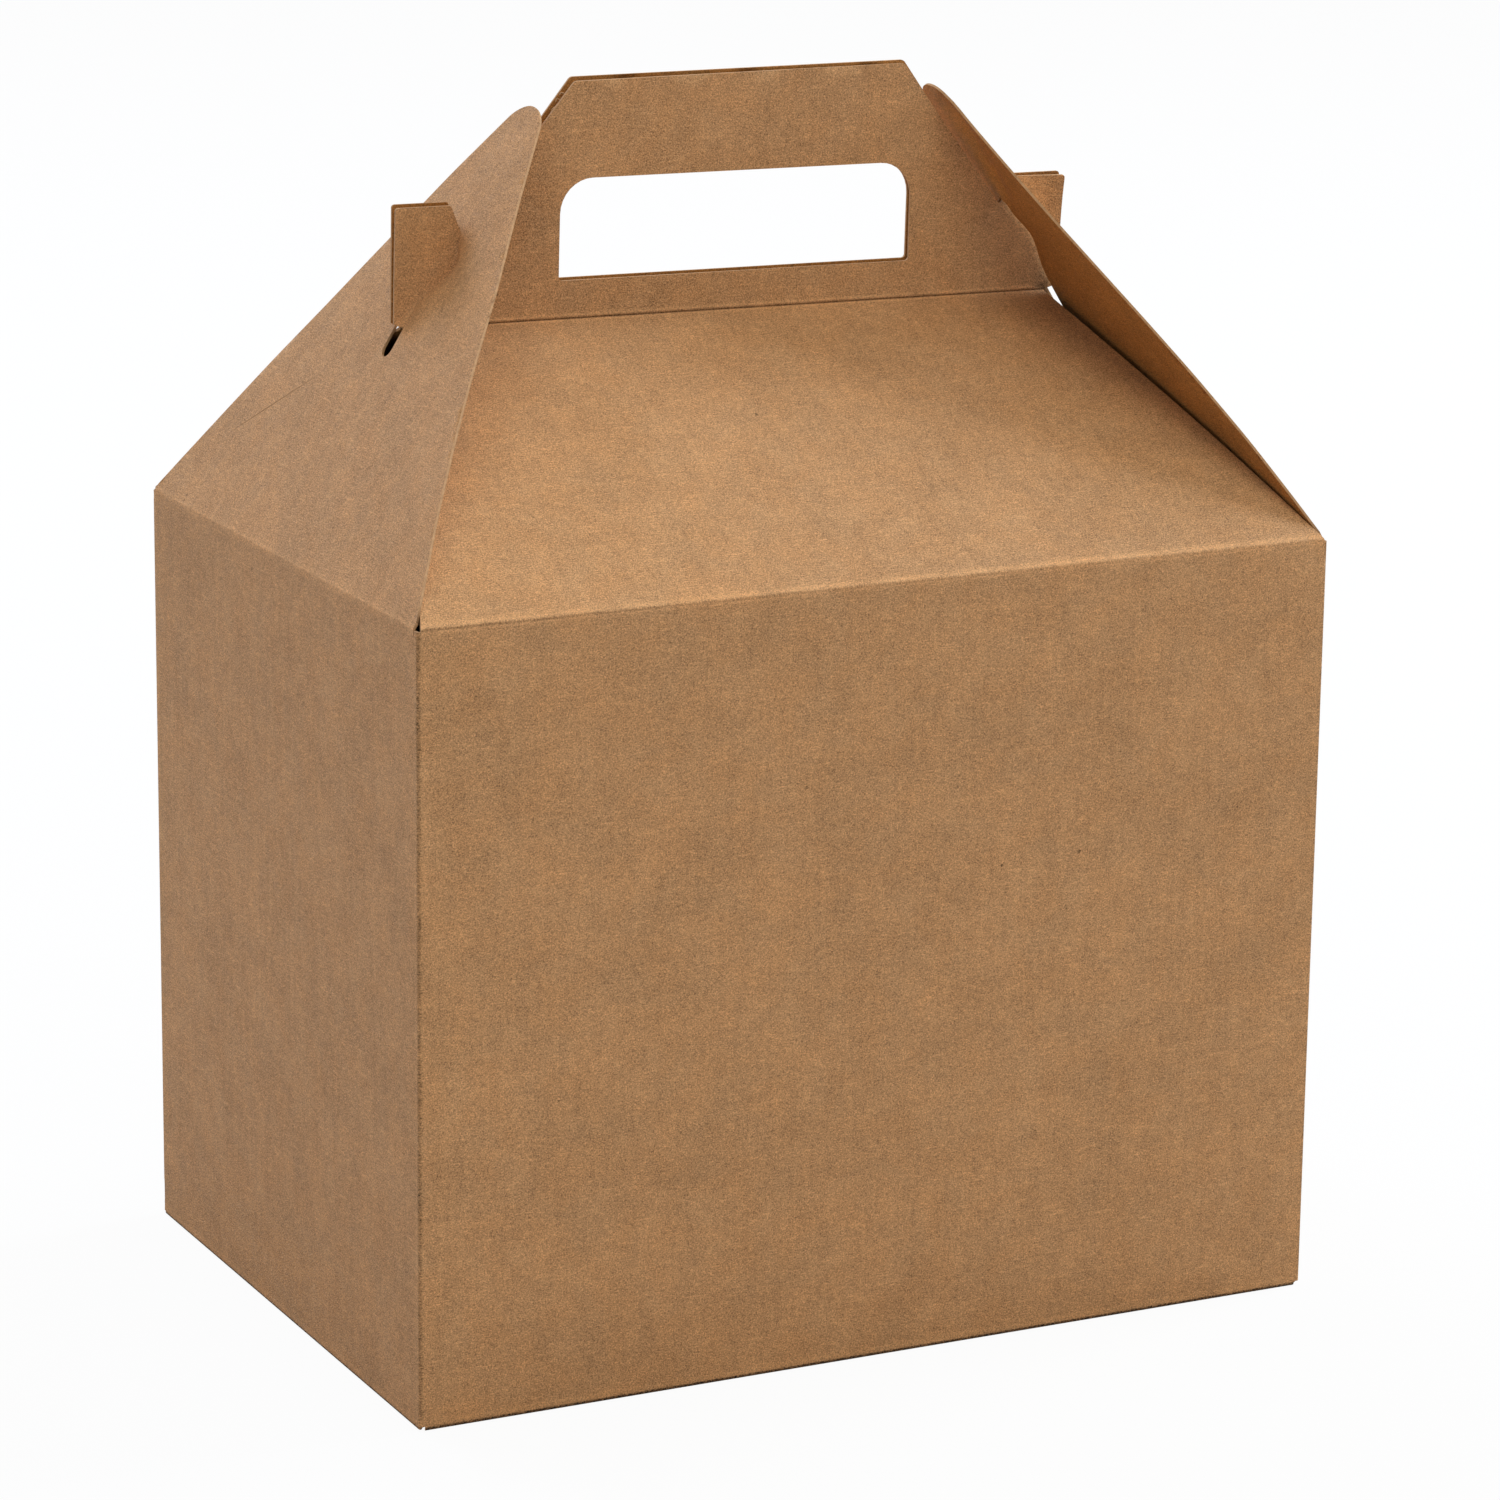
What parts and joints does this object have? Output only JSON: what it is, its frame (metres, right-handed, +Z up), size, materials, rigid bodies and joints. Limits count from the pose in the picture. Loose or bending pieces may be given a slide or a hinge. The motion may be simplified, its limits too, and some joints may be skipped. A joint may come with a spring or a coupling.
{
  "type": "gable box",
  "caption": "Kraft board gable box: a folded carton with a sloping roof, a carrying handle with a hand hole, and slotted end flaps that hook over the handle's ends.",
  "frame": {"origin": "under the middle of the box, on the surface that it stands on", "axes": "+X to the right along the front wall, +Y from the front wall to the back wall, +Z up"},
  "size_m": [0.254, 0.179, 0.3195],
  "materials": {
    "kraft_body": "matte uncoated kraft",
    "kraft_flap": "matte uncoated kraft"
  },
  "bodies": {
    "box": {"body": "kraft_body"},
    "left_flap": {"left_end_flap": "kraft_flap"},
    "right_flap": {"right_end_flap": "kraft_flap"}
  },
  "joints": [
    {"name": "left_flap_fold", "type": "hinge", "parent": "box", "child": "left_flap", "pos_m": [-0.127, 0, 0.203], "axis": [0, -1, 0], "range_deg": [0, 200]},
    {"name": "right_flap_fold", "type": "hinge", "parent": "box", "child": "right_flap", "pos_m": [0.127, 0, 0.203], "axis": [0, 1, 0], "range_deg": [0, 200]}
  ]
}
